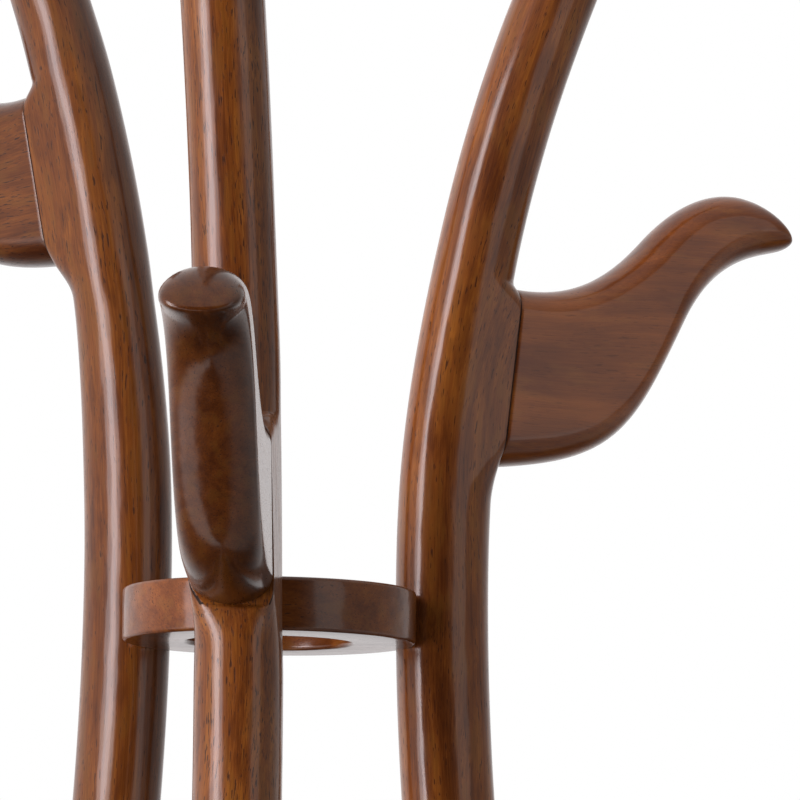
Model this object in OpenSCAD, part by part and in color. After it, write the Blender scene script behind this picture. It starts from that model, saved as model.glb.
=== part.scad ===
// Standing coat rack: three bowed uprights, two rings, three horn hooks, with fixings and feet.
// Millimetres. +Z up, floor at Z = 0, front upright toward -Y.

/* [Overall] */
// Height of the underside of the upper ring above the floor
ring_z = 1155; // [1000:1:1250]
// Height of the underside of the lower ring above the floor
lower_ring_z = 480; // [350:1:650]
// Height where the centreline of each upright ends
horn_z = 1690; // [1600:1:1800]

/* [Upright curve] */
// Distance from the rack axis to the centreline of an upright at the waist
waist_r = 83.6; // [75:0.1:100]
// Height of the waist above the underside of the upper ring
waist_rise = 36; // [0:1:60]
// Bend radius just above the waist
bend_up = 710; // [500:10:1200]
// Lean at which the upper bend eases off, in degrees
ease_up = 24; // [10:0.5:30]
// Bend radius of the eased upper part
horn_bend = 1400; // [800:50:3000]
// Bend radius just below the waist
bend_down = 1240; // [700:10:2000]
// Lean at which the lower bend eases off, in degrees
ease_down = 6.5; // [3:0.5:12]
// Bend radius of the long lower part
leg_bend = 9500; // [4000:100:20000]
// Sideways lean of the front upright above the upper ring, in degrees
front_lean = 1.05; // [0:0.05:2]

/* [Upright section] */
// Radial depth of an upright from the knee up to the hooks
mid_depth = 41.9; // [34:0.1:50]
// Width of an upright across the same stretch
mid_width = 38.4; // [30:0.1:46]
// Radial depth above the hooks
neck_depth = 36.5; // [30:0.1:42]
// Width above the hooks
neck_width = 36.5; // [30:0.1:42]
// Diameter of an upright just under its rounded top
horn_d = 27; // [20:0.5:34]
// Radial depth at the floor
foot_depth = 35; // [28:0.5:44]
// Width at the floor
foot_width = 33; // [28:0.5:44]
// Roundness exponent of the section, 2 is an ellipse
section_power = 2.15; // [2:0.05:4]
// Section of the front upright compared with the right one
front_size = 1.015; // [0.95:0.005:1.05]
// Section of the left upright compared with the right one
left_size = 0.967; // [0.95:0.001:1.05]

/* [Rings] */
// Height of a ring
ring_h = 24; // [18:0.5:32]
// Radial wall of a ring
ring_wall = 29; // [20:0.5:36]
// Depth of the housing that an upright has for a ring
housing = 3.15; // [1:0.05:6]
// Edge rounding of a ring
ring_edge = 2; // [0.5:0.5:5]

/* [Hooks] */
// Height of the lower end of the right hook above the underside of the upper ring
hook_rise = 85.2; // [60:0.1:120]
// How much higher the left hook sits than the right one
left_lift = 96; // [0:1:140]
// How much lower the front hook sits than the right one
front_drop = 78; // [0:1:100]
// Thickness of a hook across its cheeks
hook_t = 37; // [28:0.5:42]
// Depth of the rounded edge of a hook
bullnose = 13; // [4:0.5:18]
// Height of the glued seam between hook and upright
seam_h = 82.5; // [60:0.5:100]
// Outward run of the seam over its height
seam_run = 9; // [0:0.5:14]
// How far the lower end of the right seam stands proud of its upright
right_proud = -0.4; // [-1:0.1:5]
// How far the lower end of the left seam stands proud of its upright
left_proud = 2.9; // [-1:0.1:5]
// How far the lower end of the front seam stands proud of its upright
front_proud = -0.4; // [-1:0.1:5]
// Extra outward tilt of the left hook, which follows its upright, in degrees
left_tilt = 6.7; // [0:0.1:12]
// Turn of the front hook about the vertical, in degrees
front_turn_in = 4.1; // [0:0.1:8]
// Round-over where hook and upright meet at the seam
seam_edge = 0.5; // [0.4:0.1:3]

/* [Fixings] */
// Diameter of a hook dowel
dowel_d = 10; // [6:0.5:14]
// Length of a hook dowel
dowel_l = 46; // [30:1:60]
// Distance between the two dowels of a hook
dowel_gap = 40; // [24:1:54]
// Thread diameter of a ring bolt
bolt_d = 6; // [5:1:10]
// Shank length of a ring bolt
bolt_l = 40; // [30:1:60]
// Diameter of the socket head of a ring bolt
head_d = 10; // [8:0.5:16]
// Height of the socket head
head_h = 6; // [4:0.5:10]
// Across-flats size of the hexagon socket
socket_af = 5; // [4:0.5:8]
// Depth of the counterbore inside a ring
counterbore = 5; // [2:0.5:8]
// Diameter of the counterbore
counterbore_d = 15; // [12:0.5:18]
// Outer diameter of a washer
washer_d = 12.5; // [10:0.5:15]
// Thickness of a washer
washer_t = 1.6; // [0.8:0.1:3]
// Outer diameter of a threaded insert
insert_d = 9; // [8:0.5:12]
// Length of a threaded insert
insert_l = 20; // [12:1:26]

/* [Feet] */
// Diameter of a foot glide
glide_d = 26; // [18:1:32]
// Thickness of a foot glide
glide_h = 4; // [2:0.5:8]
// Shank diameter of a glide screw
screw_d = 4; // [3:0.5:5]
// Overall length of a glide screw
screw_l = 30; // [16:1:40]
// Diameter of the countersunk head of a glide screw
screw_head_d = 8; // [6:0.5:10]

/* [Hidden] */

walnut = [0.36, 0.19, 0.10];
walnut_light = [0.46, 0.26, 0.14];
beech = [0.80, 0.66, 0.46];
steel = [0.55, 0.56, 0.58];
brass = [0.74, 0.60, 0.28];
nylon = [0.12, 0.12, 0.13];

front_turn = -90;
right_turn = 30;
left_turn = 150;

// Each hook's seat: height of the seam's lower end, how proud it is, tilt, turn; lean and size of its upright
front_seat = [ring_z + hook_rise - front_drop, front_proud, 0, front_turn_in, front_lean, front_size];
right_seat = [ring_z + hook_rise, right_proud, 0, 0, 0, 1];
left_seat = [ring_z + hook_rise + left_lift, left_proud, left_tilt, 0, 0, left_size];

sides = 24;
nose_steps = 10;
hook_ribs = 30;

// ---- centreline of an upright, in the plane through the rack axis ----

waist_z = ring_z + waist_rise;
rise_a = bend_up * sin(ease_up);
rise_b = bend_down * sin(ease_down);

// Outward lean of the centreline from the vertical at height z, negative below the waist
function lean(z) =
  let(d = z - waist_z)
  d >= rise_a ? asin(sin(ease_up) + (d - rise_a) / horn_bend)
  : d >= 0 ? asin(d / bend_up)
  : d >= -rise_b ? asin(d / bend_down)
  : -asin(sin(ease_down) + (-d - rise_b) / leg_bend);

// Distance of the centreline from the rack axis at height z
function reach(z) =
  let(d = z - waist_z, a = abs(lean(z)))
  d >= rise_a
    ? waist_r + bend_up * (1 - cos(ease_up)) + horn_bend * (cos(ease_up) - cos(a))
  : d >= 0 ? waist_r + bend_up * (1 - cos(a))
  : d >= -rise_b ? waist_r + bend_down * (1 - cos(a))
  : waist_r + bend_down * (1 - cos(ease_down)) + leg_bend * (cos(ease_down) - cos(a));

// ---- section of an upright ----

function mix(a, b, t) = a + (b - a) * t;
function soft(t) = let(c = min(max(t, 0), 1)) c * c * (3 - 2 * c);

// Size along the upright from foot, middle, neck and horn values
function along(foot, mid, neck, horn, z) =
  z < ring_z ? mix(foot, mid, soft(z / (ring_z * 0.62)))
  : z < horn_z - 260 ? mix(mid, neck, soft((z - ring_z - 70) / 120))
  : mix(neck, horn, soft((z - horn_z + 260) / 250));

function depth(z) = along(foot_depth, mid_depth, neck_depth, horn_d, z);
function width(z) = along(foot_width, mid_width, neck_width, horn_d, z);
function outer(z) = reach(z) + depth(z) / 2 / cos(lean(z));
function inner(z) = reach(z) - depth(z) / 2 / cos(lean(z));

// ---- hook seam: a flat that leans outward; k is the hook's seat ----

seam_slope = atan(seam_run / seam_h);
function seam_foot(k) = outer(k[0]) + k[1];
function seam_top(k) = k[0] + norm([seam_run, seam_h]) * cos(seam_slope + k[2]);

// Distance of the seam from the rack axis at height z, v to the side of the upright's middle
function seam_at(z, v, k) =
  seam_foot(k) + (z - k[0]) * tan(seam_slope + k[2]) / cos(k[3]) - v * tan(k[3]);

// Sideways shift of a leaning upright at height z: straight above the ring, easing back to the foot
function sway(z, k) =
  let(rise = z - ring_z)
  -tan(k[4]) * (rise > 0 ? rise : rise * pow(z / ring_z, 2));

function power(v, p) = sign(v) * pow(abs(v), p);

// One ring of points round the upright at height z; along the seam it swells to match the hook's end
function upright_ring(z, k) =
  let(
    a = lean(z) * soft((z - glide_h) / 80),
    crown = z > horn_z - horn_d / 2 ? sqrt(max(0.02, 1 - pow((z - horn_z) / (horn_d / 2) + 1, 2))) : 1,
    d = depth(z) / 2 * k[5] * crown,
    s = z - d * sin(a) - k[0],
    span = seam_top(k) - k[0],
    inside = min(s, span - s),
    flank = soft((s + 32) / 32) * soft((span - s + 32) / 32),
    box = soft((s + 18) / 31) * soft((span - s + 2) / 15),
    w = mix(width(z) * k[5], hook_t + 0.8, flank) / 2 * crown,
    p_out = 1 / mix(1 / section_power, 1 / 12, box),
    flush = (seam_at(z, 0, k) - reach(z)) / cos(a) + hook_t / 2 * tan(k[3]),
    edge = 1 - min(max(inside / bullnose, 0), 1),
    need = hook_t / 2 * sqrt(1 - edge * edge),
    full = flush / pow(1 - pow(min(need / w, 0.985), p_out), 1 / p_out),
    fade = mix(flush, d, soft(-inside / (s < 0 ? 20 : 2.5))),
    d_out = max(d, inside >= 0 ? full : fade)
  )
  [for (i = [0 : sides - 1])
    let(
      q = 360 * i / sides,
      p = cos(q) > 0 ? p_out : section_power,
      u = power(cos(q), 2 / p) * (cos(q) > 0 ? d_out : d),
      v = power(sin(q), 2 / p) * w,
      pz = z - u * sin(a),
      pr = reach(z) + u * cos(a),
      past = max(0, k[0] - pz, pz - seam_top(k))
    )
    [min(pr, seam_at(pz, v, k) + 1.2 * past + (past > 12 ? 99 : 0)), v + sway(pz, k), pz]
  ];

// Heights of the rings: close at the foot, along the seam and at the top, wide elsewhere
function stations(k) =
  let(
    low = k[0] - 34,
    top = seam_top(k),
    high = top + 34,
    legs = ceil((low - 60) / 48),
    arms = ceil((horn_z - 40 - high) / 26)
  )
  concat(
    [glide_h, glide_h + 14, glide_h + 30],
    [for (i = [0 : legs - 1]) 60 + (low - 60) * i / legs],
    [for (i = [0 : 3]) low + 6 * i],
    [for (i = [0 : 9]) k[0] - 10 + 2 * i],
    [for (i = [0 : 8]) k[0] + 11 + (top - k[0] - 22) * i / 8],
    [for (i = [0 : 9]) top - 8 + 2 * i],
    [for (i = [0 : 3]) high - 20 + 6 * i],
    [for (i = [0 : arms]) high + 4 + (horn_z - 44 - high) * i / arms],
    [horn_z - 24],
    [for (q = [0 : 15 : 75]) horn_z - horn_d / 2 * (1 - sin(q))],
    [horn_z - 0.2]
  );

// Closed skin over a stack of rings of n points each
module skin(rings, n) {
  count = len(rings);
  polyhedron(
    points = [for (r = rings) for (p = r) p],
    faces = concat(
      [[for (i = [0 : n - 1]) i]],
      [[for (i = [n - 1 : -1 : 0]) (count - 1) * n + i]],
      [for (k = [0 : count - 2]) for (i = [0 : n - 1])
        [k * n + i, (k + 1) * n + i, (k + 1) * n + (i + 1) % n]],
      [for (k = [0 : count - 2]) for (i = [0 : n - 1])
        [k * n + i, (k + 1) * n + (i + 1) % n, k * n + (i + 1) % n]]
    )
  );
}

// ---- shared placing ----

axis_y = (reach(glide_h) + foot_depth / 2) / 4 - 5.5;

// Turns a part that is drawn along +X to the direction of its upright
module at(turn) {
  translate([0, axis_y, 0])
    rotate([0, 0, turn])
      children();
}

// Radius of the ring whose underside is at height z
function ring_r(z) = round((inner(z + ring_h / 2) + housing) * 2) / 2;

module radial(r, z) {
  translate([r, 0, z])
    rotate([0, 90, 0])
      children();
}

// Frame of dowel m of the hook with seat k: origin on the seam, +Z out into the hook
module on_seam(k, m) {
  translate([0, 0, ring_z])
    rotate([k[4], 0, 0])
      translate([seam_foot(k), 0, k[0] - ring_z])
        rotate([0, 0, k[3]])
          rotate([0, 90 + seam_slope + k[2], 0])
            translate([-norm([seam_run, seam_h]) / 2 - m * dowel_gap / 2, 0, 0])
              children();
}

// ---- pieces ----

module upright_body(k) {
  difference() {
    skin([for (z = stations(k)) upright_ring(z, k)], sides);
    for (z = [ring_z, lower_ring_z]) {
      translate([0, 0, z])
        cylinder(r = ring_r(z), h = ring_h, $fn = 180);
      radial(ring_r(z) - 6, z + ring_h / 2)
        cylinder(d = insert_d, h = insert_l + 6, $fn = 48);
    }
    for (m = [-1, 1])
      on_seam(k, m)
        translate([0, 0, -dowel_l / 2])
          cylinder(d = dowel_d, h = dowel_l, $fn = 48);
    translate([reach(glide_h), 0, 0])
      cylinder(d = screw_d, h = screw_l, $fn = 32);
  }
}

function bezier(a, b, c, d, t) =
  pow(1 - t, 3) * a + 3 * pow(1 - t, 2) * t * b + 3 * (1 - t) * t * t * c + pow(t, 3) * d;

// Upper and lower edge of a hook, from the seam (t = 0) past the neck (t = 1) to the tip (t = 2)
neck_top = [76.2, 109.6];
neck_low = [94.4, 71.9];
tip = [147.1, 111.4];

function hook_top(t) =
  t < 1 ? bezier([seam_run, seam_h], [33.7, 79.8], [54.3, 85.4], neck_top, t)
  : bezier(neck_top, [112.2, 149.1], [141.3, 129], tip, t - 1);

function hook_low(t) =
  t < 1 ? bezier([0, 0], [63.4, 5.3], [68.1, 19.5], neck_low, t)
  : bezier(neck_low, [114.5, 112.6], [145.8, 106.3], tip, t - 1);

// One rib of a hook at t, shrunk by s, pushed outward by dx; drawn at the seam, before tilt and turn
function hook_rib(t, s, dx) =
  let(
    a = hook_top(t),
    b = hook_low(t),
    c = (a + b) / 2,
    h = max(norm(a - b) / 2 - s, 0.3),
    v = (a - b) / norm(a - b),
    nose = min(h * 0.97, bullnose),
    bulge = 1 - min(h / bullnose, 1),
    w = (hook_t / 2 - s) * sqrt(1 - bulge * bulge)
  )
  [for (half = [0, 1]) for (i = [0 : nose_steps])
    let(
      q = 180 * half + 180 * i / nose_steps,
      y = (half == 0 ? h - nose : nose - h) + nose * sin(q)
    )
    [c[0] + v[0] * y + dx, w * cos(q), c[1] + v[1] * y]
  ];

// Rib positions: even up to the neck, closing toward the tip
function rib_t(i) = i / hook_ribs < 0.5 ? 2 * i / hook_ribs : 1 + sin(180 * (i / hook_ribs - 0.5)) * 0.985;

// Moves point p of a hook from the drawing at the seam to its seat
function seated(p, k) =
  let(
    x = p[0] * cos(k[2]) + p[2] * sin(k[2]),
    z = k[0] - p[0] * sin(k[2]) + p[2] * cos(k[2])
  )
  [seam_foot(k) + x * cos(k[3]) - p[1] * sin(k[3]), x * sin(k[3]) + p[1] * cos(k[3]) + sway(z, k), z];

module hook_body(k) {
  ribs = concat(
    [hook_rib(0, seam_edge, 0), hook_rib(0.004, seam_edge * 0.3, seam_edge * 0.3)],
    [hook_rib(0.02, 0, seam_edge * 0.4)],
    [for (i = [2 : hook_ribs]) hook_rib(rib_t(i), 0, 0)]
  );
  difference() {
    skin([for (r = ribs) [for (p = r) seated(p, k)]], 2 * nose_steps + 2);
    for (m = [-1, 1])
      on_seam(k, m)
        translate([0, 0, -dowel_l / 2])
          cylinder(d = dowel_d, h = dowel_l, $fn = 48);
  }
}

module dowel_body(k, m) {
  on_seam(k, m) {
    cylinder(d = dowel_d, h = dowel_l - 6, center = true, $fn = 48);
    for (end = [0, 1])
      mirror([0, 0, end])
        translate([0, 0, dowel_l / 2 - 3])
          cylinder(d1 = dowel_d, d2 = dowel_d - 2, h = 2, $fn = 48);
  }
}

module ring_profile(r) {
  translate([r - ring_wall + ring_edge, 0])
    square([ring_wall - 2 * ring_edge, ring_h]);
  translate([r - ring_wall, ring_edge])
    square([ring_wall, ring_h - 2 * ring_edge]);
  for (x = [r - ring_wall + ring_edge, r - ring_edge])
    for (y = [ring_edge, ring_h - ring_edge])
      translate([x, y])
        circle(r = ring_edge, $fn = 32);
}

module ring_body(z) {
  r = ring_r(z);
  difference() {
    translate([0, axis_y, z])
      rotate_extrude($fn = 180)
        ring_profile(r);
    for (turn = [front_turn, right_turn, left_turn])
      at(turn) {
        radial(r - ring_wall - 5, z + ring_h / 2)
          cylinder(d = bolt_d + 0.4, h = ring_wall + 10, $fn = 48);
        radial(r - ring_wall - 5, z + ring_h / 2)
          cylinder(d = counterbore_d, h = counterbore + 5, $fn = 64);
      }
  }
}

// Radius of the seat that a washer has in the ring at height z
function bolt_seat(z) = ring_r(z) - ring_wall + counterbore;

module bolt_body(z) {
  radial(bolt_seat(z) - washer_t, z + ring_h / 2)
    difference() {
      union() {
        cylinder(d = bolt_d, h = bolt_l - 1, $fn = 48);
        translate([0, 0, bolt_l - 1])
          cylinder(d1 = bolt_d, d2 = bolt_d - 1.6, h = 1, $fn = 48);
        translate([0, 0, 0.6 - head_h])
          cylinder(d = head_d, h = head_h - 0.6, $fn = 48);
        translate([0, 0, -head_h])
          cylinder(d1 = head_d - 1.2, d2 = head_d, h = 0.6, $fn = 48);
      }
      translate([0, 0, -head_h - 1])
        cylinder(d = socket_af / cos(30), h = head_h / 2 + 1, $fn = 6);
    }
}

module washer_body(z) {
  radial(bolt_seat(z) - washer_t, z + ring_h / 2)
    difference() {
      cylinder(d = washer_d, h = washer_t, $fn = 48);
      translate([0, 0, -1])
        cylinder(d = bolt_d + 0.4, h = washer_t + 2, $fn = 48);
    }
}

module insert_body(z) {
  radial(ring_r(z), z + ring_h / 2)
    difference() {
      cylinder(d = insert_d, h = insert_l, $fn = 48);
      translate([0, 0, -1])
        cylinder(d = bolt_d, h = insert_l + 2, $fn = 48);
    }
}

module glide_body() {
  translate([reach(glide_h), 0, 0])
    difference() {
      union() {
        translate([0, 0, 1])
          cylinder(d = glide_d, h = glide_h - 1, $fn = 72);
        cylinder(d1 = glide_d - 2, d2 = glide_d, h = 1, $fn = 72);
      }
      translate([0, 0, -1])
        cylinder(d = screw_d, h = glide_h + 2, $fn = 32);
      translate([0, 0, -1])
        cylinder(d = screw_head_d, h = 1.8, $fn = 48);
      translate([0, 0, 0.8])
        cylinder(d1 = screw_head_d, d2 = screw_d, h = 2, $fn = 48);
    }
}

module glide_screw_body() {
  translate([reach(glide_h), 0, 0])
    difference() {
      union() {
        translate([0, 0, 0.8])
          cylinder(d1 = screw_head_d, d2 = screw_d, h = 2, $fn = 48);
        translate([0, 0, 0.8])
          cylinder(d = screw_d, h = screw_l - 2.8, $fn = 32);
        translate([0, 0, screw_l - 2])
          cylinder(d1 = screw_d, d2 = 1, h = 2, $fn = 32);
      }
      for (turn = [0, 90])
        rotate([0, 0, turn])
          translate([-2, -0.4, 0])
            cube([4, 0.8, 1.8]);
    }
}

// ---- one module per piece ----

module upright_front() color(walnut) at(front_turn) upright_body(front_seat);
module upright_right() color(walnut) at(right_turn) upright_body(right_seat);
module upright_left() color(walnut) at(left_turn) upright_body(left_seat);

module hook_front() color(walnut_light) at(front_turn) hook_body(front_seat);
module hook_right() color(walnut_light) at(right_turn) hook_body(right_seat);
module hook_left() color(walnut_light) at(left_turn) hook_body(left_seat);

module dowel_front_low() color(beech) at(front_turn) dowel_body(front_seat, -1);
module dowel_front_high() color(beech) at(front_turn) dowel_body(front_seat, 1);
module dowel_right_low() color(beech) at(right_turn) dowel_body(right_seat, -1);
module dowel_right_high() color(beech) at(right_turn) dowel_body(right_seat, 1);
module dowel_left_low() color(beech) at(left_turn) dowel_body(left_seat, -1);
module dowel_left_high() color(beech) at(left_turn) dowel_body(left_seat, 1);

module upper_ring() color(walnut) ring_body(ring_z);
module lower_ring() color(walnut) ring_body(lower_ring_z);

module bolt_upper_front() color(steel) at(front_turn) bolt_body(ring_z);
module bolt_upper_right() color(steel) at(right_turn) bolt_body(ring_z);
module bolt_upper_left() color(steel) at(left_turn) bolt_body(ring_z);
module washer_upper_front() color(steel) at(front_turn) washer_body(ring_z);
module washer_upper_right() color(steel) at(right_turn) washer_body(ring_z);
module washer_upper_left() color(steel) at(left_turn) washer_body(ring_z);
module insert_upper_front() color(brass) at(front_turn) insert_body(ring_z);
module insert_upper_right() color(brass) at(right_turn) insert_body(ring_z);
module insert_upper_left() color(brass) at(left_turn) insert_body(ring_z);

module bolt_lower_front() color(steel) at(front_turn) bolt_body(lower_ring_z);
module bolt_lower_right() color(steel) at(right_turn) bolt_body(lower_ring_z);
module bolt_lower_left() color(steel) at(left_turn) bolt_body(lower_ring_z);
module washer_lower_front() color(steel) at(front_turn) washer_body(lower_ring_z);
module washer_lower_right() color(steel) at(right_turn) washer_body(lower_ring_z);
module washer_lower_left() color(steel) at(left_turn) washer_body(lower_ring_z);
module insert_lower_front() color(brass) at(front_turn) insert_body(lower_ring_z);
module insert_lower_right() color(brass) at(right_turn) insert_body(lower_ring_z);
module insert_lower_left() color(brass) at(left_turn) insert_body(lower_ring_z);

module glide_front() color(nylon) at(front_turn) glide_body();
module glide_right() color(nylon) at(right_turn) glide_body();
module glide_left() color(nylon) at(left_turn) glide_body();
module glide_screw_front() color(steel) at(front_turn) glide_screw_body();
module glide_screw_right() color(steel) at(right_turn) glide_screw_body();
module glide_screw_left() color(steel) at(left_turn) glide_screw_body();

upright_front();
upright_right();
upright_left();
hook_front();
hook_right();
hook_left();
dowel_front_low();
dowel_front_high();
dowel_right_low();
dowel_right_high();
dowel_left_low();
dowel_left_high();
upper_ring();
lower_ring();
bolt_upper_front();
bolt_upper_right();
bolt_upper_left();
washer_upper_front();
washer_upper_right();
washer_upper_left();
insert_upper_front();
insert_upper_right();
insert_upper_left();
bolt_lower_front();
bolt_lower_right();
bolt_lower_left();
washer_lower_front();
washer_lower_right();
washer_lower_left();
insert_lower_front();
insert_lower_right();
insert_lower_left();
glide_front();
glide_right();
glide_left();
glide_screw_front();
glide_screw_right();
glide_screw_left();
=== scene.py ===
"""Standing coat rack: visible wood, hardware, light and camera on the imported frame. Metres, +Z up."""
import math
from collections import namedtuple

import bmesh
import bpy
import numpy as np
from mathutils import Matrix, Vector


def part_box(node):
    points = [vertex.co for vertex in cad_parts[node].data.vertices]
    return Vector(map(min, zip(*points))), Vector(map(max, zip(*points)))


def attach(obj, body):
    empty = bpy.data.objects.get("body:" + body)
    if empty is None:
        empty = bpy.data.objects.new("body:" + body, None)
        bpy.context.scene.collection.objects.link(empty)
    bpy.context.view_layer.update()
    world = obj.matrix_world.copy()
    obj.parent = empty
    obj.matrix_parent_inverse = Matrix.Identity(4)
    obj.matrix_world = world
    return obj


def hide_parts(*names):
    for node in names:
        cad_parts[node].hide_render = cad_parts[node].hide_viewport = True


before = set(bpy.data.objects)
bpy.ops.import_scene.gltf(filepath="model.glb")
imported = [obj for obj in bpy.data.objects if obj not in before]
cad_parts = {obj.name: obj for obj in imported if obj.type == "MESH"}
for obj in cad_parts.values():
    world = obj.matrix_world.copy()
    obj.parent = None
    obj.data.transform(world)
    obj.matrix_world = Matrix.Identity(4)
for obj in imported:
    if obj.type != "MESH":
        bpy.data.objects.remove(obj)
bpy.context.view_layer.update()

MM = 0.001

# ---------------------------------------------------------------- shape, in millimetres, as in the CAD

RING_LO, RING_HI = (Vector(p) * 1000 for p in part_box("upper_ring"))
LOW_LO, LOW_HI = (Vector(p) * 1000 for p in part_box("lower_ring"))
AXIS_X, AXIS_Y = (RING_LO.x + RING_HI.x) / 2, (RING_LO.y + RING_HI.y) / 2
RING_Z, LOWER_Z, RING_H = RING_LO.z, LOW_LO.z, RING_HI.z - RING_LO.z
RING_R, LOWER_R = (RING_HI.x - RING_LO.x) / 2, (LOW_HI.x - LOW_LO.x) / 2
RING_WALL, RING_EDGE = 29.0, 2.0
GLIDE_H, HORN_Z = 4.0, 1690.0
WAIST_R, WAIST_Z = 83.6, RING_Z + 36
BEND_UP, EASE_UP, HORN_BEND = 710.0, math.radians(24), 1400.0
BEND_DOWN, EASE_DOWN, LEG_BEND = 1240.0, math.radians(6.5), 9500.0
FOOT, MID, NECK, HORN = (35.0, 33.0), (41.9, 38.4), (36.5, 36.5), (27.0, 27.0)
SECTION_POWER = 2.15
HOOK_T, BULLNOSE = 37.0, 13.0
SEAM_H, SEAM_RUN, SEAM_EDGE = 82.5, 9.0, 0.5
SEAM_LEN, SEAM_SLOPE = math.hypot(SEAM_H, SEAM_RUN), math.atan(SEAM_RUN / SEAM_H)
HOOK_RISE, FRONT_DROP, LEFT_RISE = 85.2, 78.0, 96.0
# the outer face beside a seam: how squarely it is boxed, how much wider than the hook it is,
# and over what lengths it swells to that below the seam and above it
SEAM_POWER, SEAM_MARGIN, FLANK_FADE = 26, 0.8, 32.0
BOX_LOW_START, BOX_LOW_RUN, BOX_TOP_START, BOX_TOP_RUN = 18.0, 31.0, 2.0, 15.0
FADE_LOW, FADE_TOP = 20.0, 2.5
LEDGE_SLOPE, LEDGE_REACH, NO_LIMIT = 1.2, 12.0, 99.0
# the foot's rounded lower edge, and the height over which an upright straightens to stand flat
FOOT_ROUND, FOOT_TAPER, FOOT_EASE = 3.0, 1.4 / 17, 80.0
# spacing of an upright's rings of points: at the seam's ends, beside them, along the leg and along the horn
FINE, MIDDLING, LEG_STEP, HORN_STEP = 0.7, 2.0, 6.0, 4.0
# each upright: way it faces in degrees; its hook's seat: height, how far it stands proud, tilt and turn;
# then the upright's sideways lean and its size against the right one
Seat = namedtuple("Seat", "way z proud tilt turn lean size")
SEATS = {
    "front": Seat(-90.0, RING_Z + HOOK_RISE - FRONT_DROP, -0.4, 0.0, 4.1, 1.05, 1.015),
    "right": Seat(30.0, RING_Z + HOOK_RISE, -0.4, 0.0, 0.0, 0.0, 1.0),
    "left": Seat(150.0, RING_Z + HOOK_RISE + LEFT_RISE, 2.9, 6.7, 0.0, 0.0, 0.967),
}
BOLT_R, BOLT_SEAT_R = 3.2, 7.5
RISE_A, RISE_B = BEND_UP * math.sin(EASE_UP), BEND_DOWN * math.sin(EASE_DOWN)


def lean(z):
    """Outward lean of an upright's centreline at height z, in radians."""
    d = np.asarray(z, float) - WAIST_Z
    up = np.arcsin(np.clip(d / BEND_UP, -1, 1))
    horn = np.arcsin(np.clip(math.sin(EASE_UP) + (d - RISE_A) / HORN_BEND, -1, 1))
    down = np.arcsin(np.clip(d / BEND_DOWN, -1, 1))
    leg = -np.arcsin(np.clip(math.sin(EASE_DOWN) + (-d - RISE_B) / LEG_BEND, -1, 1))
    return np.where(d >= RISE_A, horn, np.where(d >= 0, up, np.where(d >= -RISE_B, down, leg)))


def reach(z):
    """Distance of the centreline from the rack axis at height z."""
    d = np.asarray(z, float) - WAIST_Z
    c = np.cos(lean(z))
    up = WAIST_R + BEND_UP * (1 - c)
    horn = WAIST_R + BEND_UP * (1 - math.cos(EASE_UP)) + HORN_BEND * (math.cos(EASE_UP) - c)
    down = WAIST_R + BEND_DOWN * (1 - c)
    leg = WAIST_R + BEND_DOWN * (1 - math.cos(EASE_DOWN)) + LEG_BEND * (math.cos(EASE_DOWN) - c)
    return np.where(d >= RISE_A, horn, np.where(d >= 0, up, np.where(d >= -RISE_B, down, leg)))


def soft(t):
    """0 to 1 with an eased start and end."""
    c = np.clip(t, 0, 1)
    return c * c * (3 - 2 * c)


def mix(a, b, t):
    return a + (b - a) * t


def along(i, z):
    """An upright's depth (i = 0) or width (i = 1) at height z, before its own size."""
    low = mix(FOOT[i], MID[i], soft(z / (RING_Z * 0.62)))
    mid = mix(MID[i], NECK[i], soft((z - RING_Z - 70) / 120))
    top = mix(NECK[i], HORN[i], soft((z - HORN_Z + 260) / 250))
    return np.where(z < RING_Z, low, np.where(z < HORN_Z - 260, mid, top))


def seam(seat):
    """Foot radius and top height of a hook's seam."""
    foot = float(reach(seat.z) + along(0, seat.z) / 2 / np.cos(lean(seat.z))) + seat.proud
    return foot, seat.z + SEAM_LEN * math.cos(SEAM_SLOPE + math.radians(seat.tilt))


def seam_slope(seat):
    """Radius gained for each millimetre of height along a seam."""
    return math.tan(SEAM_SLOPE + math.radians(seat.tilt)) / math.cos(math.radians(seat.turn))


def seam_at(seat, z, v):
    """Radius of the seam's plane at height z and v to the side."""
    return seam(seat)[0] + (z - seat.z) * seam_slope(seat) - v * math.tan(math.radians(seat.turn))


def sway(z, lean_deg):
    """Sideways shift of a leaning upright at height z: straight above the ring, easing back to the foot."""
    rise = np.asarray(z, float) - RING_Z
    return -math.tan(math.radians(lean_deg)) * np.where(rise > 0, rise, rise * (z / RING_Z) ** 2)


def power(v, p):
    """A power that keeps the sign."""
    return np.sign(v) * np.abs(v) ** p


def arc_length():
    """Heights, and the length of the centreline up to each."""
    z = np.linspace(0, HORN_Z, 1700)
    s = np.concatenate([[0], np.cumsum(np.hypot(np.diff(z), np.diff(reach(z))))])
    return z, s


ARC_Z, ARC_S = arc_length()


def upright_grain(p, side_lean):
    """Grain coordinates (along, radial, across) in mm of points p (r, v, z)."""
    r, v, z = p.T
    v = v - sway(z, side_lean)
    a, off = lean(z), r - reach(z)
    return np.stack([np.interp(z, ARC_Z, ARC_S) + off * np.sin(a), off * np.cos(a), v], axis=1)


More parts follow.
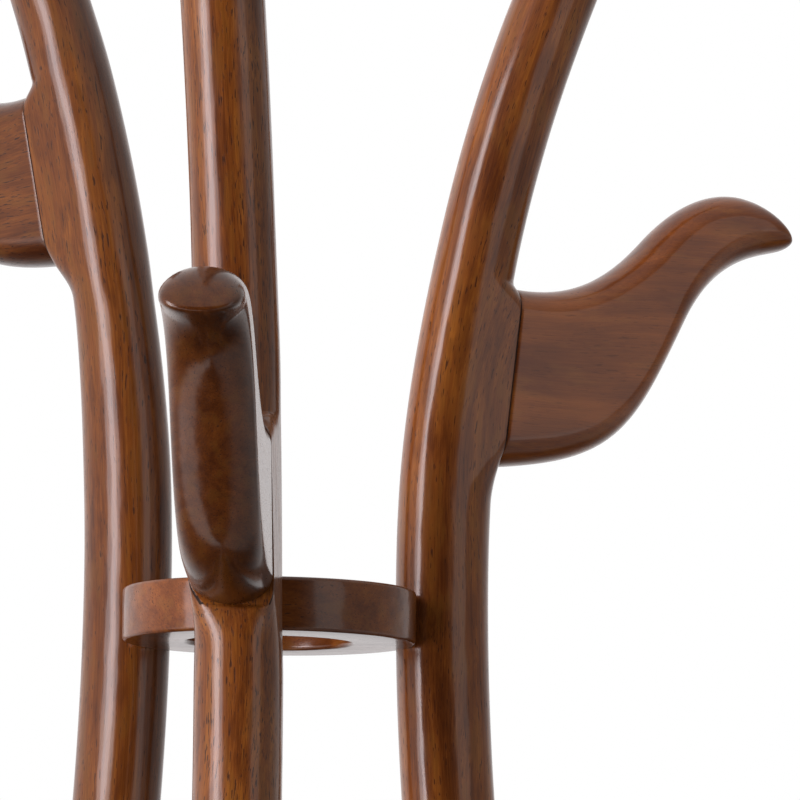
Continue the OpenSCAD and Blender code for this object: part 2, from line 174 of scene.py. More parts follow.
def upright_heights(seat):
    """Heights of an upright's rings of points, close together where its shape changes fast."""
    top = seam(seat)[1]
    z = np.concatenate([
        GLIDE_H + FOOT_ROUND * np.array((0, 0.1, 0.3, 0.6, 1)),
        np.arange(GLIDE_H + 7, seat.z - 36, LEG_STEP),
        np.arange(seat.z - 34, seat.z - 10, MIDDLING),
        np.arange(seat.z - 10, seat.z + 20, FINE),
        np.linspace(seat.z + 20.5, top - 14, 24),
        np.arange(top - 13.3, top + 16, FINE),
        np.arange(top + 16, top + 38, MIDDLING),
        np.arange(top + 40, HORN_Z - 24, HORN_STEP),
        HORN_Z - HORN[0] / 2 * (1 - np.sin(np.linspace(0, math.pi / 2, 14))),
    ])
    return z[np.concatenate([[True], np.diff(z) > 0.02])]


def upright_grid(seat, sides):
    """Rings of points (r, v, z) of an upright."""
    top = seam(seat)[1]
    z = upright_heights(seat)[:, None]
    q = np.linspace(0, 2 * math.pi, sides, endpoint=False)[None, :]
    a = lean(z) * soft((z - GLIDE_H) / FOOT_EASE)
    nose = np.sqrt(np.clip(1 - ((z - HORN_Z) / (HORN[0] / 2) + 1) ** 2, 0.0004, 1))
    crown = np.where(z > HORN_Z - HORN[0] / 2, nose, 1.0)
    rounding = 1 - np.sqrt(np.clip(1 - ((GLIDE_H + FOOT_ROUND - z) / FOOT_ROUND) ** 2, 0, 1))
    edge = np.where(z < GLIDE_H + FOOT_ROUND, 1 - FOOT_TAPER * rounding, 1.0)
    d = along(0, z) / 2 * seat.size * crown * edge
    # low: height of the outer face above the seam's foot; high: its depth below the seam's top
    low = z - d * np.sin(a) - seat.z
    high = top - seat.z - low
    inside = np.minimum(low, high)
    flank = soft((low + FLANK_FADE) / FLANK_FADE) * soft((high + FLANK_FADE) / FLANK_FADE)
    box = soft((low + BOX_LOW_START) / BOX_LOW_RUN) * soft((high + BOX_TOP_START) / BOX_TOP_RUN)
    w = mix(along(1, z) * seat.size, HOOK_T + SEAM_MARGIN, flank) / 2 * crown * edge
    p_out = 1 / mix(1 / SECTION_POWER, 1 / SEAM_POWER, box)
    # the section is full enough for the hook's rounded end to bear on the seam's flat
    flush = (seam_at(seat, z, 0) - reach(z)) / np.cos(a) + HOOK_T / 2 * math.tan(math.radians(seat.turn))
    need = HOOK_T / 2 * np.sqrt(1 - (1 - np.clip(inside / BULLNOSE, 0, 1)) ** 2)
    full = flush / (1 - np.minimum(need / w, 0.985) ** p_out) ** (1 / p_out)
    fade = mix(flush, d, soft(-inside / np.where(low < 0, FADE_LOW, FADE_TOP)))
    d_out = np.maximum(d, np.where(inside >= 0, full, fade))
    out = np.cos(q) > 0
    p = np.where(out, p_out, SECTION_POWER)
    u = power(np.cos(q), 2 / p) * np.where(out, d_out, d)
    v = power(np.sin(q), 2 / p) * w
    pz = z - u * np.sin(a)
    pr = reach(z) + u * np.cos(a)
    # nothing stands out past the seam's plane, which is let go beyond its two ends
    past = np.maximum(0, np.maximum(seat.z - pz, pz - top))
    limit = seam_at(seat, pz, v) + LEDGE_SLOPE * past + np.where(past > LEDGE_REACH, NO_LIMIT, 0)
    return np.stack([np.minimum(pr, limit), v + sway(pz, seat.lean), pz], axis=2)


def bezier(a, b, c, d, t):
    """Points at t along the cubic with ends a and d and controls b and c."""
    a, b, c, d, t = (np.asarray(x, float) for x in (a, b, c, d, t))
    t = t[..., None]
    return (1 - t) ** 3 * a + 3 * (1 - t) ** 2 * t * b + 3 * (1 - t) * t * t * c + t ** 3 * d


NECK_TOP, NECK_LOW, TIP = (76.2, 109.6), (94.4, 71.9), (147.1, 111.4)


def hook_edges(t):
    """Upper and lower edge of a hook, from the seam (0) past the neck (1) to the tip (2)."""
    near, far = np.clip(t, 0, 1), np.clip(t - 1, 0, 1)
    before_neck = (t < 1)[:, None]
    top = np.where(before_neck, bezier((SEAM_RUN, SEAM_H), (33.7, 79.8), (54.3, 85.4), NECK_TOP, near),
                   bezier(NECK_TOP, (112.2, 149.1), (141.3, 129), TIP, far))
    low = np.where(before_neck, bezier((0, 0), (63.4, 5.3), (68.1, 19.5), NECK_LOW, near),
                   bezier(NECK_LOW, (114.5, 112.6), (147.6, 104.4), TIP, far))
    return top, low


def hook_grid(steps, ribs):
    """Ribs of points (x, v, z) of a hook, before its tilt and turn."""
    # a rounded arris at the seam, then evenly to the neck, then ever closer toward the tip
    turn = np.linspace(0, math.pi / 2, 6)
    t_in = 0.02 * (1 - np.cos(turn))
    t_neck = np.linspace(0.03, 1, ribs // 2)
    t_tip = 1 + np.sin(np.linspace(0, math.pi / 2, ribs // 2)[1:]) * 0.9995
    t_body = np.concatenate([t_neck, t_tip])
    t = np.concatenate([t_in, t_body])
    shrink = np.concatenate([SEAM_EDGE * (1 - np.sin(turn)), np.zeros(len(t_body))])
    push = np.concatenate([0.4 * SEAM_EDGE * (1 - np.cos(turn)), np.zeros(len(t_body))])
    top, low = hook_edges(t)
    gap = np.linalg.norm(top - low, axis=1)
    c, v = (top + low) / 2, (top - low) / gap[:, None]
    h = np.maximum(gap / 2 - shrink, 0.12)
    nose = np.minimum(h * 0.97, BULLNOSE)
    bulge = 1 - np.minimum(h / BULLNOSE, 1)
    w = (HOOK_T / 2 - shrink) * np.sqrt(1 - bulge ** 2)
    q = np.linspace(0, math.pi, steps + 1)
    flat = np.linspace(-1, 1, 7)[1:-1]
    y = np.concatenate([
        (h - nose)[:, None] + nose[:, None] * np.sin(q)[None],
        -(h - nose)[:, None] * flat[None],
        (nose - h)[:, None] - nose[:, None] * np.sin(q)[None],
        (h - nose)[:, None] * flat[None],
    ], axis=1)
    x = np.concatenate([
        w[:, None] * np.cos(q)[None], -w[:, None] * np.ones((1, 5)),
        -w[:, None] * np.cos(q)[None], w[:, None] * np.ones((1, 5)),
    ], axis=1)
    return np.stack([c[:, :1] + v[:, :1] * y + push[:, None], x, c[:, 1:] + v[:, 1:] * y], axis=2)


# ---------------------------------------------------------------- mesh building


def turned(points, deg):
    """Local (r, v, z) in mm to the row frame in metres."""
    t = math.radians(deg)
    x = AXIS_X + points[:, 0] * math.cos(t) - points[:, 1] * math.sin(t)
    y = AXIS_Y + points[:, 0] * math.sin(t) + points[:, 1] * math.cos(t)
    return np.stack([x, y, points[:, 2]], axis=1) * MM


def local(points, deg):
    """Row frame in metres back to local (r, v, z) in mm."""
    t, p = math.radians(deg), points * 1000
    x, y = p[:, 0] - AXIS_X, p[:, 1] - AXIS_Y
    return np.stack([x * math.cos(t) + y * math.sin(t), -x * math.sin(t) + y * math.cos(t), p[:, 2]], axis=1)


def skin_mesh(name, grid, place):
    """A closed mesh over a stack of rings; both ends are fans to their middle."""
    rows, n, _ = grid.shape
    ends = np.stack([grid[0].mean(0), grid[-1].mean(0)])
    points = place(np.concatenate([grid.reshape(-1, 3), ends]))
    i = np.arange(n)
    faces = []
    for k in range(rows - 1):
        a, b = k * n, (k + 1) * n
        faces += np.stack([a + i, a + (i + 1) % n, b + (i + 1) % n, b + i], axis=1).tolist()
    faces += [[rows * n, (j + 1) % n, j] for j in range(n)]
    last = (rows - 1) * n
    faces += [[rows * n + 1, last + j, last + (j + 1) % n] for j in range(n)]
    mesh = bpy.data.meshes.new(name)
    mesh.from_pydata(points.tolist(), [], faces)
    return mesh


def finish_mesh(mesh, crease_deg):
    """Welds, fixes normals, shades smooth and keeps real corners sharp."""
    bm = bmesh.new()
    bm.from_mesh(mesh)
    bmesh.ops.remove_doubles(bm, verts=bm.verts, dist=1e-6)
    bmesh.ops.recalc_face_normals(bm, faces=bm.faces)
    for f in bm.faces:
        f.smooth = True
    for e in bm.edges:
        e.smooth = len(e.link_faces) == 2 and e.calc_face_angle(0) < math.radians(crease_deg)
    bm.to_mesh(mesh)
    bm.free()


def set_grain(mesh, grain):
    """Stores a wood coordinate in mm at every vertex."""
    co = np.empty(len(mesh.vertices) * 3)
    mesh.vertices.foreach_get("co", co)
    layer = mesh.attributes.new("grain", "FLOAT_VECTOR", "POINT")
    layer.data.foreach_set("vector", grain(co.reshape(-1, 3)).astype(np.float32).ravel())


def set_seam(mesh, distance):
    """Stores how far every vertex lies out from the glued seam, in mm; far away where there is no seam."""
    co = np.empty(len(mesh.vertices) * 3)
    mesh.vertices.foreach_get("co", co)
    layer = mesh.attributes.new("seam", "FLOAT", "POINT")
    layer.data.foreach_set("value", distance(co.reshape(-1, 3)).astype(np.float32))


def add(name, mesh):
    """A new object in the scene."""
    ob = bpy.data.objects.new(name, mesh)
    bpy.context.scene.collection.objects.link(ob)
    return ob


def cylinder_mesh(name, r, h, n, matrix):
    """A cylinder that stands on the matrix's origin and points along its +Z."""
    bm = bmesh.new()
    bmesh.ops.create_cone(bm, cap_ends=True, segments=n, radius1=r, radius2=r, depth=h,
                          matrix=matrix @ Matrix.Translation((0, 0, h / 2)))
    mesh = bpy.data.meshes.new(name)
    bm.to_mesh(mesh)
    bm.free()
    return mesh


def cut(ob, tools):
    """Takes each tool mesh out of ob, exactly, and applies the result."""
    helpers = []
    for i, tool in enumerate(tools):
        helper = add(f"{ob.name}.cut.{i}", tool)
        m = ob.modifiers.new(f"cut{i}", "BOOLEAN")
        m.operation, m.solver, m.object = "DIFFERENCE", "EXACT", helper
        helpers.append(helper)
    graph = bpy.context.evaluated_depsgraph_get()
    mesh = bpy.data.meshes.new_from_object(ob.evaluated_get(graph))
    ob.modifiers.clear()
    old, ob.data = ob.data, mesh
    name = old.name
    bpy.data.meshes.remove(old)
    mesh.name = name
    for helper in helpers:
        data = helper.data
        bpy.data.objects.remove(helper)
        bpy.data.meshes.remove(data)


def radial_matrix(deg, r, z):
    """+Z of the result points outward along an upright's direction."""
    t = math.radians(deg)
    return (Matrix.Translation(((AXIS_X + r * math.cos(t)) * MM, (AXIS_Y + r * math.sin(t)) * MM, z * MM))
            @ Matrix.Rotation(t, 4, "Z") @ Matrix.Rotation(math.pi / 2, 4, "Y"))


# ---------------------------------------------------------------- materials


class Nodes:
    """Strings shader nodes together in one emptied node tree."""

    def __init__(self, tree):
        self.tree = tree
        tree.nodes.clear()

    def new(self, kind, **settings):
        node = self.tree.nodes.new(kind)
        for key, value in settings.items():
            setattr(node, key, value)
        return node

    def put(self, socket, value):
        if isinstance(value, bpy.types.NodeSocket):
            self.tree.links.new(value, socket)
        else:
            socket.default_value = value

    def math(self, op, a, b=0.0, c=0.0):
        node = self.new("ShaderNodeMath", operation=op)
        for socket, value in zip(node.inputs, (a, b, c)):
            self.put(socket, value)
        return node.outputs[0]

    def vec(self, op, a, b):
        node = self.new("ShaderNodeVectorMath", operation=op)
        self.put(node.inputs[0], a)
        self.put(node.inputs[1], b)
        return node.outputs[0]

    def dot(self, a, b):
        node = self.new("ShaderNodeVectorMath", operation="DOT_PRODUCT")
        self.put(node.inputs[0], a)
        self.put(node.inputs[1], b)
        return node.outputs["Value"]

    def noise(self, vector, scale=1.0, detail=2.0, rough=0.5, distort=0.0):
        node = self.new("ShaderNodeTexNoise", noise_dimensions="3D")
        self.put(node.inputs["Vector"], vector)
        settings = {"Scale": scale, "Detail": detail, "Roughness": rough, "Distortion": distort}
        for key, value in settings.items():
            node.inputs[key].default_value = value
        return node.outputs["Fac"]

    def figure(self, grain, fine_along, fine_across, **settings):
        """Noise stretched along the grain; the two numbers are its features per mm along it and across it."""
        return self.noise(self.vec("MULTIPLY", grain, (fine_along, fine_across, fine_across)), **settings)

    def remap(self, value, lo, hi, to_lo=0.0, to_hi=1.0):
        node = self.new("ShaderNodeMapRange", interpolation_type="SMOOTHSTEP")
        self.put(node.inputs[0], value)
        for socket, v in zip(list(node.inputs)[1:5], (lo, hi, to_lo, to_hi)):
            self.put(socket, v)
        return node.outputs[0]

    def lerp(self, fac, a, b):
        node = self.new("ShaderNodeMix")
        for socket, value in ((node.inputs[0], fac), (node.inputs[2], a), (node.inputs[3], b)):
            self.put(socket, value)
        return node.outputs[0]

    def ramp(self, fac, stops):
        """A grey colour ramp; stops are (degrees from -180 to 180, level)."""
        node = self.new("ShaderNodeValToRGB")
        self.put(node.inputs[0], fac)
        node.color_ramp.interpolation = "EASE"
        elements = node.color_ramp.elements
        while len(elements) < len(stops):
            elements.new(0.5)
        for element, (deg, level) in zip(elements, stops):
            element.position = deg / 360 + 0.5
            element.color = (level, level, level, 1)
        return node.outputs[0]

    def blend(self, fac, a, b):
        node = self.new("ShaderNodeMix", data_type="RGBA", blend_type="MIX")
        self.put(node.inputs[0], fac)
        for socket, value in ((node.inputs[6], a), (node.inputs[7], b)):
            self.put(socket, value if isinstance(value, bpy.types.NodeSocket) else (*value, 1.0))
        return node.outputs[2]

    def bump(self, height, strength, distance, normal=None):
        node = self.new("ShaderNodeBump")
        node.inputs["Strength"].default_value = strength
        node.inputs["Distance"].default_value = distance
        self.put(node.inputs["Height"], height)
        if normal is not None:
            self.put(node.inputs["Normal"], normal)
        return node.outputs[0]


class Surface(Nodes):
    """A material's nodes round one Principled shader."""

    def __init__(self, name):
        self.mat = bpy.data.materials.new(name)
        self.mat.use_nodes = True
        super().__init__(self.mat.node_tree)
        out = self.new("ShaderNodeOutputMaterial")
        self.bsdf = self.new("ShaderNodeBsdfPrincipled")
        self.tree.links.new(self.bsdf.outputs[0], out.inputs["Surface"])

    def surface(self, **sockets):
        for key, value in sockets.items():
            self.put(self.bsdf.inputs[key.replace("_", " ")], value)
        return self.mat


COAT, COAT_ROUGH, LACQUER_IOR, WOOD_SPECULAR = 0.62, 0.13, 1.5, 0.1
SKIN_BUMP, SKIN_DEPTH, PORE_BUMP, PORE_DEPTH = 0.25, 0.0010, 0.35, 0.00012


def scaled(colour, factor):
    return tuple(c * factor for c in colour)


def wood(name, cut_at, tones, streak, pores, seam_line):
    """Stained, open-pored, lacquered wood whose grain runs along the first grain coordinate.

    cut_at shifts the figure, in mm, and tones are the dark, middle and light stain, already lightened or
    darkened by the piece's painted light and shade.
    """
    dark, mid, light = tones
    n = Surface(name)
    at = n.new("ShaderNodeAttribute", attribute_type="GEOMETRY", attribute_name="grain").outputs["Vector"]
    at = n.vec("ADD", at, cut_at)
    # slow wander of the grain, in mm
    side = n.math("MULTIPLY_ADD", n.figure(at, 0.006, 0.02, detail=1.0), 26.0, -13.0)
    sideways = n.new("ShaderNodeCombineXYZ")
    n.put(sideways.inputs[1], side)
    n.put(sideways.inputs[2], side)
    bent = n.vec("ADD", at, sideways.outputs[0])
    drift = n.figure(at, 0.011, 0.045, detail=2.0, rough=0.55)
    bands = n.figure(bent, 0.004, 0.19, detail=3.0, rough=0.6, distort=0.3)
    fibre = n.figure(bent, 0.035, 1.5, detail=3.0, rough=0.65)
    hair = n.figure(bent, 0.12, 4.5, detail=2.0, rough=0.6)
    pore = n.figure(bent, 0.15, 1.6, detail=1.0, rough=0.5)
    # pores crowd together in the darker bands
    crowd = n.remap(bands, 0.42, 0.62)
    level = n.math("MULTIPLY_ADD", crowd, -0.05, 0.685 - 0.06 * max(pores - 1, 0))
    fleck = n.remap(pore, level, n.math("ADD", level, 0.05))
    fleck = n.math("MULTIPLY", fleck, min(pores, 1.15))
    tone = n.math("MULTIPLY_ADD", bands, 0.55 * streak, n.math("MULTIPLY", drift, 0.6))
    tone = n.math("ADD", tone, n.math("MULTIPLY_ADD", fibre, 0.5 * streak, -0.35 * streak))
    colour = n.blend(n.remap(tone, 0.22, 0.62), dark, mid)
    colour = n.blend(n.remap(tone, 0.5, 0.95), colour, light)
    # the stain took unevenly: amber and dark patches a centimetre or two long
    blotch = n.figure(at, 0.035, 0.13, detail=2.0, rough=0.6)
    amber = tuple(c * k for c, k in zip(mid, (1.0, 1.3, 1.25)))
    uneven = min(streak, 1.0)
    colour = n.blend(n.math("MULTIPLY", n.remap(blotch, 0.5, 0.66), 0.45 * uneven), colour, amber)
    deep = scaled(dark, 0.9)
    colour = n.blend(n.math("MULTIPLY", n.remap(blotch, 0.5, 0.34), 0.4 * uneven), colour, deep)
    colour = n.blend(n.math("MULTIPLY", n.remap(hair, 0.45, 0.75), 0.22), colour, scaled(dark, 0.45))
    colour = n.blend(n.math("MULTIPLY", fleck, 0.75), colour, scaled(dark, 0.4))
    if seam_line:
        # a thin dark glue line within about half a millimetre of the seam, without lacquer
        off = n.new("ShaderNodeAttribute", attribute_type="GEOMETRY", attribute_name="seam").outputs["Fac"]
        off = n.math("MULTIPLY_ADD", fibre, 0.25, off)
        glue = n.math("MULTIPLY", n.remap(off, 0.15, 0.6, 1.0, 0.0), n.remap(off, -0.75, -0.4))
        colour = n.blend(n.math("MULTIPLY", glue, 0.95), colour, scaled(dark, 0.10))
    rough = n.math("MULTIPLY_ADD", fibre, 0.10, 0.26)
    rough = n.math("MULTIPLY_ADD", fleck, 0.25, rough)
    height = n.math("SUBTRACT", n.math("MULTIPLY", fibre, 0.18), fleck)
    skin = n.figure(at, 0.035, 0.14, detail=1.0)
    normal = n.bump(height, PORE_BUMP, PORE_DEPTH, n.bump(skin, SKIN_BUMP, SKIN_DEPTH))
    return n.surface(
        Base_Color=colour, Roughness=rough, Normal=normal, IOR=LACQUER_IOR, Specular_IOR_Level=WOOD_SPECULAR,
        Coat_Weight=n.math("MULTIPLY_ADD", glue, -COAT, COAT) if seam_line else COAT,
        Coat_Roughness=COAT_ROUGH, Coat_IOR=LACQUER_IOR, Coat_Normal=n.bump(skin, SKIN_BUMP, SKIN_DEPTH))


def metal(name, colour, rough, stretch, wear):
    """Plated or turned metal: fine turning lines, cloudy plating and a little tarnish."""
    n = Surface(name)
    at = n.new("ShaderNodeTexCoord").outputs["Object"]
    lines = n.noise(n.vec("MULTIPLY", at, stretch), detail=3.0, rough=0.7)
    cloud = n.noise(at, scale=420.0, detail=3.0)
    tint = n.blend(n.remap(cloud, 0.35, 0.7), colour, wear)
    tint = n.blend(n.math("MULTIPLY", n.remap(lines, 0.4, 0.7), 0.35), tint, scaled(colour, 0.6))
    roughness = n.math("MULTIPLY_ADD", cloud, 0.25, n.math("MULTIPLY_ADD", lines, 0.15, rough - 0.2))
    return n.surface(Base_Color=tint, Roughness=roughness, Normal=n.bump(lines, 0.2, 0.00005), Metallic=1.0)


def plastic(name, colour, worn):
    """Moulded nylon with a fine grain and scuffs."""
    n = Surface(name)
    at = n.new("ShaderNodeTexCoord").outputs["Object"]
    grain = n.noise(at, scale=2600.0, detail=2.0)
    scuff = n.noise(n.vec("MULTIPLY", at, (300.0, 90.0, 300.0)), detail=4.0, rough=0.7)
    tint = n.blend(n.remap(scuff, 0.5, 0.75), colour, worn)
    roughness = n.math("MULTIPLY_ADD", scuff, 0.25, 0.38)
    return n.surface(Base_Color=tint, Roughness=roughness, Normal=n.bump(grain, 0.3, 0.00006))


def beech(name, dark, light):
    """Plain beech for the dowels: short flecks along the pin."""
    n = Surface(name)
    at = n.new("ShaderNodeTexCoord").outputs["Object"]
    ray = n.noise(n.vec("MULTIPLY", at, (900.0, 900.0, 160.0)), detail=2.0)
    cloud = n.noise(at, scale=60.0, detail=2.0)
    tint = n.blend(n.remap(cloud, 0.3, 0.7), dark, light)
    tint = n.blend(n.math("MULTIPLY", n.remap(ray, 0.55, 0.7), 0.4), tint, scaled(dark, 0.55))
    roughness = n.math("MULTIPLY_ADD", ray, 0.2, 0.5)
    return n.surface(Base_Color=tint, Roughness=roughness, Normal=n.bump(ray, 0.2, 0.0001))


STAIN = (0.066, 0.016, 0.0030), (0.155, 0.045, 0.0075), (0.27, 0.095, 0.013)
# piece: where in the log it is cut (mm), a painted light-and-shade factor on its stain that stands in for how
# the lamps fall on it, how strong its streaks and its pores are
CUTS = {
    "upright_front": ((130, 40, 11), 0.8, 1.6, 1.7),
    "upright_right": ((930, -20, 43), 1.15, 1.25, 1.2),
    "upright_left": ((1730, 90, -37), 0.68, 1.25, 1.1),
    "hook_front": ((2530, 10, 70), 0.48, 0.9, 1.0),
    "hook_right": ((3330, -60, 20), 1.8, 0.5, 0.6),
    "hook_left": ((4130, 35, -80), 0.62, 1.0, 1.4),
    "ring": ((4930, 60, 35), 1.0, 0.8, 1.0),
}
WOODS = {}
for piece, (cut_at, painted_light_level, streaks, pore_count) in CUTS.items():
    # painted light and shade: each piece's stain tones are lightened or darkened to stand in for how the
    # lamps fall on it
    stain = [scaled(tone, painted_light_level) for tone in STAIN]
    WOODS[piece] = wood(f"wood_{piece}", cut_at, stain, streaks, pore_count, seam_line=piece != "ring")

# ---------------------------------------------------------------- pieces


def keep(ob, material, slot, *nodes):
    """Gives a wooden piece its material and puts it in its CAD nodes' place."""
    ob.data.materials.clear()
    ob.data.materials.append(material)
    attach(ob, "root")
    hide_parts(*nodes)


def build_upright(side):
    seat = SEATS[side]
    skin = skin_mesh(f"wood_upright_{side}", upright_grid(seat, 96), lambda p: turned(p, seat.way))
    ob = add(f"wood_upright_{side}", skin)
    axis = lambda z: Matrix.Translation((AXIS_X * MM, AXIS_Y * MM, z * MM))
    housings = (RING_Z, RING_R), (LOWER_Z, LOWER_R)
    cut(ob, [cylinder_mesh("seat", r * MM, RING_H * MM, 256, axis(z)) for z, r in housings])
    finish_mesh(ob.data, 32)
    set_grain(ob.data, lambda p: upright_grain(local(p, seat.way), seat.lean))
    top = seam(seat)[1]

    def distance(p):
        r, v, z = local(p, seat.way).T
        off = (r - seam_at(seat, z, v - sway(z, seat.lean))) * math.cos(math.atan(seam_slope(seat)))
        # the flat itself carries no glue line, only its edge does
        return np.where((z > seat.z) & (z < top), np.where(off > -0.03, 0.8, off), -9.0)

    set_seam(ob.data, distance)
    keep(ob, WOODS[f"upright_{side}"], "upright_wood", f"upright_{side}")


def build_hook(side):
    seat = SEATS[side]
    foot = seam(seat)[0]
    tilt, turn = math.radians(seat.tilt), math.radians(seat.turn)

    def place(p):
        x = p[:, 0] * math.cos(tilt) + p[:, 2] * math.sin(tilt)
        z = -p[:, 0] * math.sin(tilt) + p[:, 2] * math.cos(tilt)
        r = foot + x * math.cos(turn) - p[:, 1] * math.sin(turn)
        v = x * math.sin(turn) + p[:, 1] * math.cos(turn)
        return turned(np.stack([r, v + sway(seat.z + z, seat.lean), seat.z + z], axis=1), seat.way)

    def grain(p):
        q = local(p, seat.way)
        r, v, z = q[:, 0] - foot, q[:, 1] - sway(q[:, 2], seat.lean), q[:, 2] - seat.z
        x = r * math.cos(turn) + v * math.sin(turn)
        across = v * math.cos(turn) - r * math.sin(turn)
        outward, rise = x * math.cos(tilt) - z * math.sin(tilt), x * math.sin(tilt) + z * math.cos(tilt)
        return np.stack([outward, rise, across], axis=1)

    ob = add(f"wood_hook_{side}", skin_mesh(f"wood_hook_{side}", hook_grid(20, 160), place))
    finish_mesh(ob.data, 50)
    set_grain(ob.data, grain)
    seam_normal = np.array((math.cos(SEAM_SLOPE), -math.sin(SEAM_SLOPE), 0.0))
    set_seam(ob.data, lambda p: grain(p) @ seam_normal)
    keep(ob, WOODS[f"hook_{side}"], "hook_wood", f"hook_{side}")


def build_ring(name, z, r):
    q = np.linspace(0, math.pi / 2, 9)
    e = RING_EDGE
    corner = lambda cx, cy, start: np.stack([cx + e * np.cos(start + q), cy + e * np.sin(start + q)], axis=1)
    inner = r - RING_WALL
    profile = np.concatenate([
        corner(r - e, RING_H - e, 0), corner(inner + e, RING_H - e, math.pi / 2),
        corner(inner + e, e, math.pi), corner(r - e, e, 1.5 * math.pi),
    ])
    n, m = 288, len(profile)
    t = np.linspace(0, 2 * math.pi, n, endpoint=False)
    x = AXIS_X + profile[None, :, 0] * np.cos(t)[:, None]
    y = AXIS_Y + profile[None, :, 0] * np.sin(t)[:, None]
    h = z + np.broadcast_to(profile[None, :, 1], x.shape)
    points = (np.stack([x, y, h], axis=2).reshape(-1, 3) * MM).tolist()
    faces = [[i * m + j, i * m + (j + 1) % m, (i + 1) % n * m + (j + 1) % m, (i + 1) % n * m + j]
             for i in range(n) for j in range(m)]
    mesh = bpy.data.meshes.new(f"wood_{name}")
    mesh.from_pydata(points, [], faces)
    finish_mesh(mesh, 60)
    ob = add(f"wood_{name}", mesh)
    tools = []
    for seat in SEATS.values():
        start = radial_matrix(seat.way, inner - 5, z + RING_H / 2)
        tools.append(cylinder_mesh("bore", BOLT_R * MM, (RING_WALL + 10) * MM, 32, start))
        tools.append(cylinder_mesh("seat", BOLT_SEAT_R * MM, 10 * MM, 64, start))
    cut(ob, tools)
    finish_mesh(ob.data, 32)
    # both rings are cut from a board whose grain runs 12 degrees off X
    a = math.radians(12)

    def grain(p):
        x, y, up = p.T * 1000
        return np.stack([x * math.cos(a) + y * math.sin(a), up, y * math.cos(a) - x * math.sin(a)], axis=1)

    set_grain(ob.data, grain)
    keep(ob, WOODS["ring"], "ring_wood", name)


for side_name in SEATS:
    build_upright(side_name)
    build_hook(side_name)
build_ring("upper_ring", RING_Z, RING_R)
build_ring("lower_ring", LOWER_Z, LOWER_R)

HARDWARE = {
    "bolt": metal("bolt_metal", (0.16, 0.155, 0.15), 0.42, (900.0, 900.0, 900.0), (0.24, 0.22, 0.20)),
    "washer": metal("washer_metal", (0.50, 0.50, 0.51), 0.38, (700.0, 700.0, 700.0), (0.36, 0.35, 0.33)),
    "insert": metal("insert_metal", (0.62, 0.45, 0.16), 0.36, (700.0, 700.0, 2400.0), (0.42, 0.30, 0.12)),
    "glide_screw": metal("screw_metal", (0.50, 0.50, 0.51), 0.38, (900.0, 900.0, 900.0), (0.32, 0.31, 0.30)),
    "glide": plastic("glide_nylon", (0.012, 0.012, 0.013), (0.05, 0.05, 0.052)),
    "dowel": beech("dowel_beech", (0.50, 0.31, 0.15), (0.66, 0.46, 0.26)),
}
for node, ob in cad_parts.items():
    kind = next((k for k in HARDWARE if node.startswith(k)), None)
    if kind:
        for slot in ob.material_slots:
            slot.material = HARDWARE[kind]
        if not ob.material_slots:
            ob.data.materials.append(HARDWARE[kind])

# ---------------------------------------------------------------- floor, light, camera


def floor():
    """A plain pale floor."""
    bm = bmesh.new()
    bmesh.ops.create_grid(bm, x_segments=8, y_segments=8, size=9.0)
    mesh = bpy.data.meshes.new("studio_floor")
    bm.to_mesh(mesh)
    bm.free()
    n = Surface("studio_floor")
    at = n.new("ShaderNodeTexCoord").outputs["Object"]
    cloud = n.noise(at, scale=1.5, detail=3.0)
    tint = n.blend(cloud, (0.80, 0.80, 0.80), (0.84, 0.84, 0.84))
    n.surface(Base_Color=tint, Roughness=n.math("MULTIPLY_ADD", cloud, 0.1, 0.6))
    mesh.materials.append(n.mat)
    ob = add("studio_floor", mesh)
    ob.visible_glossy = ob.visible_diffuse = False


floor()

CAMERA_TURN = math.radians(8.16)
CAMERA_ROLL = math.radians(0.77)
CAMERA_SIDE, CAMERA_BACK, CAMERA_DROP = 57.4, 3400.0, 302.66
AIM_RISE = 110.81
# the focal length against the width of the frame
SENSOR, FOCAL_SHARE = 36.0, 9.492975


def seen(x, y, z):
    """A point given in the camera's own heading (x right, y away from it, mm) in the row frame, in metres."""
    c, s = math.cos(CAMERA_TURN), math.sin(CAMERA_TURN)
    return Vector((AXIS_X + x * c - y * s, AXIS_Y + x * s + y * c, RING_Z + z)) * MM


def camera():
    """The only camera, a little below the ring and looking up at it."""
    data = bpy.data.cameras.new("camera")
    data.sensor_width = SENSOR
    data.lens = SENSOR * FOCAL_SHARE
    data.clip_end = 50.0
    eye, aim = seen(CAMERA_SIDE, -CAMERA_BACK, -CAMERA_DROP), seen(CAMERA_SIDE, 0, AIM_RISE)
    look = (aim - eye).normalized()
    right = look.cross(Vector((0, 0, 1))).normalized()
    up = right.cross(look)
    c, s = math.cos(CAMERA_ROLL), math.sin(CAMERA_ROLL)
    x, y = right * c + up * s, up * c - right * s
    ob = bpy.data.objects.new("camera", data)
    ob.matrix_world = Matrix((
        (x.x, y.x, -look.x, eye.x), (x.y, y.y, -look.y, eye.y), (x.z, y.z, -look.z, eye.z), (0, 0, 0, 1)))
    bpy.context.scene.collection.objects.link(ob)
    bpy.context.scene.camera = ob


camera()


def softbox(name, turn_deg, distance, height, size, level, colour):
    """A rectangular lamp facing the rack; turn_deg is its bearing from the camera's side, right positive."""
    data = bpy.data.lights.new(name, "AREA")
    data.shape, data.size, data.size_y = "RECTANGLE", size[0], size[1]
    data.energy = level * math.pi * size[0] * size[1]
    data.color = colour
    t = math.radians(turn_deg)
    place = seen(math.sin(t) * distance, -math.cos(t) * distance, height)
    ob = bpy.data.objects.new(name, data)
    aim = seen(0, 0, 100)
    ob.matrix_world = Matrix.Translation(place) @ (aim - place).to_track_quat("-Z", "Y").to_matrix().to_4x4()
    ob.visible_camera = False
    bpy.context.scene.collection.objects.link(ob)


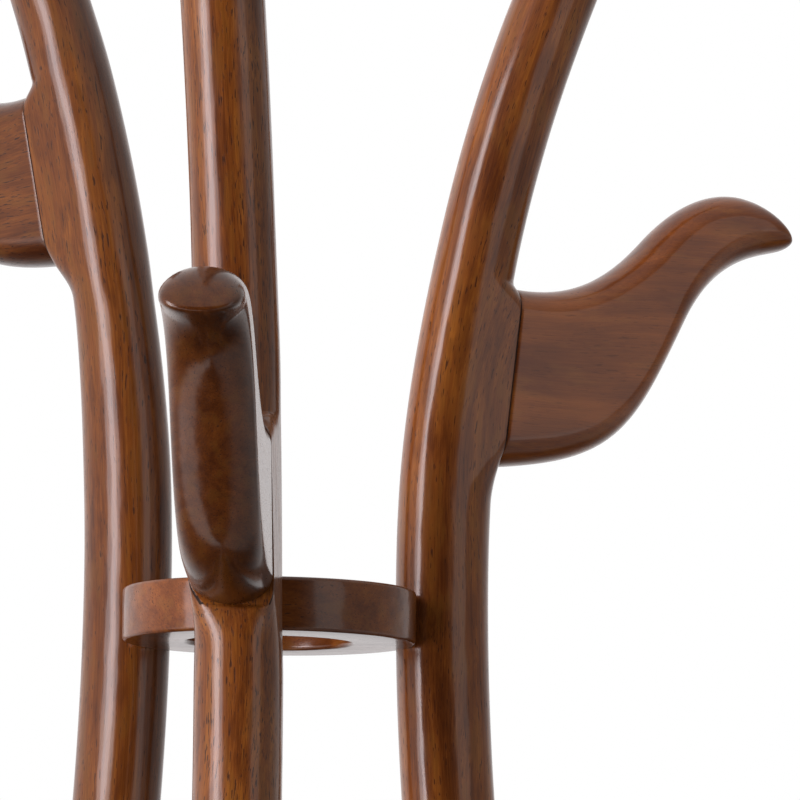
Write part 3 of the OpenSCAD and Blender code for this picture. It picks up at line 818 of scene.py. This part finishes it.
softbox("key_left", -50, 2200, 300, (1.4, 2.8), 5.2, (1.0, 0.86, 0.86))
softbox("key_core", -50, 2190, 300, (0.6, 2.8), 6.4, (1.0, 0.93, 0.97))
softbox("fill_right", 48, 2600, 300, (1.1, 2.6), 0.85, (1.0, 0.96, 0.95))


# brightness of the room's walls by bearing: -180 and 180 are straight behind the rack, 0 is toward the camera
WALLS = ((-180, 1.0), (-150, 1.0), (-115, 1.1), (-85, 0.85), (-36, 0.08), (-20, 0.02), (22, 0.02), (40, 0.36),
         (75, 0.4), (105, 0.4), (140, 0.7), (165, 1.0))
# where the lamps light up the floor, by bearing
GLOW = (-95, 0), (-75, 1), (-52, 1), (-36, 0), (10, 0), (40, 0.3), (100, 0.3), (130, 0)
CEILING, FLOOR_BELOW, GLOW_LEVEL, WALL_TINT = 0.8, 0.03, 1.5, (1.0, 0.955, 0.955, 1)


def studio():
    """White for the camera; for light and gloss, a bright wall behind the rack and a dim room in front."""
    world = bpy.data.worlds.new("studio")
    bpy.context.scene.world = world
    world.use_nodes = True
    n = Nodes(world.node_tree)
    ray = n.new("ShaderNodeTexCoord").outputs["Generated"]
    toward = (seen(0, -1, 0) - seen(0, 0, 0)).normalized()
    right = (seen(1, 0, 0) - seen(0, 0, 0)).normalized()
    # 0 straight behind the rack on the left, 0.5 toward the camera, 1 straight behind on the right
    bearing = n.math("ARCTAN2", n.dot(ray, right), n.dot(ray, toward))
    bearing = n.math("MULTIPLY_ADD", bearing, 0.5 / math.pi, 0.5)
    height = n.dot(ray, (0, 0, 1))
    level = n.lerp(n.remap(height, 0.2, 0.9), n.ramp(bearing, WALLS), CEILING)
    # straight down the floor is one even tone, whatever the bearing
    level = n.lerp(n.remap(height, -0.14, -0.8), level, FLOOR_BELOW)
    # the lamps' glow on the studio floor, seen only in the undersides of the hooks
    glow = n.math("MULTIPLY", n.ramp(bearing, GLOW), n.remap(height, -0.05, -0.35, 0.0, GLOW_LEVEL))
    level = n.math("ADD", level, glow)
    wall, plain = n.new("ShaderNodeBackground"), n.new("ShaderNodeBackground")
    n.put(wall.inputs["Strength"], level)
    wall.inputs["Color"].default_value = WALL_TINT
    plain.inputs["Color"].default_value = (1, 1, 1, 1)
    choose = n.new("ShaderNodeMixShader")
    n.put(choose.inputs[0], n.new("ShaderNodeLightPath").outputs["Is Camera Ray"])
    n.put(choose.inputs[1], wall.outputs[0])
    n.put(choose.inputs[2], plain.outputs[0])
    n.put(n.new("ShaderNodeOutputWorld").inputs["Surface"], choose.outputs[0])


studio()
view = bpy.context.scene.view_settings
view.view_transform, view.look, view.exposure, view.gamma = "Standard", "None", 0.0, 1.0
